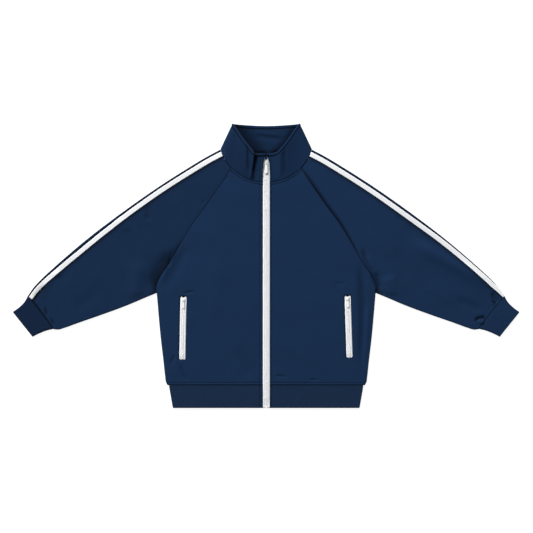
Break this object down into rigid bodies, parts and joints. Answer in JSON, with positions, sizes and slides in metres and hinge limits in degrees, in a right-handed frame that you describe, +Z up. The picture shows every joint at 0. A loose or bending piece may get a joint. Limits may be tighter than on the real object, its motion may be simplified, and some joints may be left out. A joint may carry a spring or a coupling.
{
  "type": "track jacket",
  "caption": "Zip-front track jacket laid flat on its back, with raglan sleeves, a tape along each sleeve, stand collar, zipped pockets, ribbed cuffs and hem band.",
  "frame": {"origin": "middle of the jacket's outline in plan, at the height of the surface that its back lies on", "axes": "+X to the wearer's left, +Y from the hem towards the collar, +Z up, out of the front"},
  "size_m": [1.2168, 0.6833, 0.0199],
  "materials": {
    "navy_knit": "smooth matt double knit",
    "navy_rib": "fine matt rib knit",
    "white_twill": "matt woven tape with a fine twill",
    "zip_tape": "matt woven zip tape with a moulded coil",
    "white_enamel": "satin white enamel"
  },
  "bodies": {
    "jacket": {"back": "navy_knit", "front_right": "navy_knit", "front_left": "navy_knit", "sleeve_right": "navy_knit", "sleeve_left": "navy_knit", "collar": "navy_knit", "cuff_right": "navy_rib", "cuff_left": "navy_rib", "hem_band": "navy_rib", "sleeve_tape_right": "white_twill", "sleeve_tape_left": "white_twill", "zip_tape_right": "zip_tape", "zip_tape_left": "zip_tape", "zip_chain": "zip_tape", "pocket_tape_inner_right": "zip_tape", "pocket_tape_outer_right": "zip_tape", "pocket_chain_right": "zip_tape", "pocket_tape_inner_left": "zip_tape", "pocket_tape_outer_left": "zip_tape", "pocket_chain_left": "zip_tape", "zip_box": "white_enamel", "zip_slider": "white_enamel", "zip_slider_pocket_right": "white_enamel", "zip_slider_pocket_left": "white_enamel"},
    "front_pull": {"zip_pull": "white_enamel"},
    "right_pocket_pull": {"zip_pull_pocket_right": "white_enamel"},
    "left_pocket_pull": {"zip_pull_pocket_left": "white_enamel"}
  },
  "joints": [
    {"name": "front_pull_hinge", "type": "hinge", "parent": "jacket", "child": "front_pull", "pos_m": [0, 0.2493, 0.00978], "axis": [-1, 0, 0], "range_deg": [0, 80]},
    {"name": "right_pocket_pull_hinge", "type": "hinge", "parent": "jacket", "child": "right_pocket_pull", "pos_m": [-0.19875, -0.0817, 0.00715], "axis": [-0.9998, 0.0185, 0], "range_deg": [0, 80]},
    {"name": "left_pocket_pull_hinge", "type": "hinge", "parent": "jacket", "child": "left_pocket_pull", "pos_m": [0.19557, -0.0793, 0.00715], "axis": [-0.9994, -0.0334, 0], "range_deg": [0, 80]}
  ]
}
